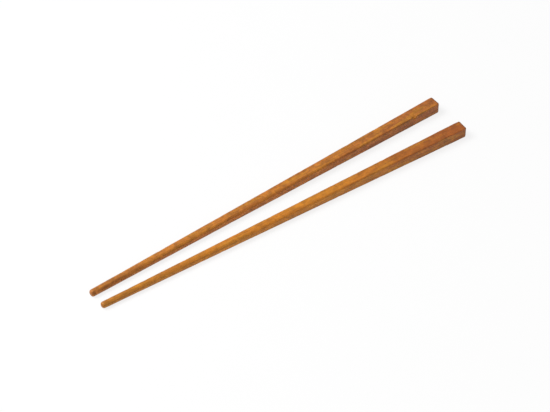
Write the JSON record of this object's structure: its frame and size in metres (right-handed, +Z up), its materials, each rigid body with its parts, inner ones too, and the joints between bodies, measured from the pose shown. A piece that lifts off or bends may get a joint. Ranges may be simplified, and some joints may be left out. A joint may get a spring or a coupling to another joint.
{
  "type": "pair of chopsticks",
  "caption": "Pair of wooden chopsticks, square at the head and tapering to thin rounded tips, lying side by side with the tips closer together than the heads.",
  "frame": {"origin": "middle of the pair's footprint, on the surface the sticks lie on", "axes": "+Z up, +X from the tips to the heads along the line that halves the angle between the sticks, +Y towards the left stick as seen from the tips"},
  "size_m": [0.2304, 0.0306, 0.0069],
  "materials": {
    "left_wood": "sanded hardwood with a thin satin oil finish, reddish brown with short dark pores",
    "right_wood": "sanded hardwood with a thin satin oil finish, amber brown with fine grain"
  },
  "bodies": {
    "root": {"left_chopstick": "left_wood", "right_chopstick": "right_wood"}
  },
  "joints": []
}
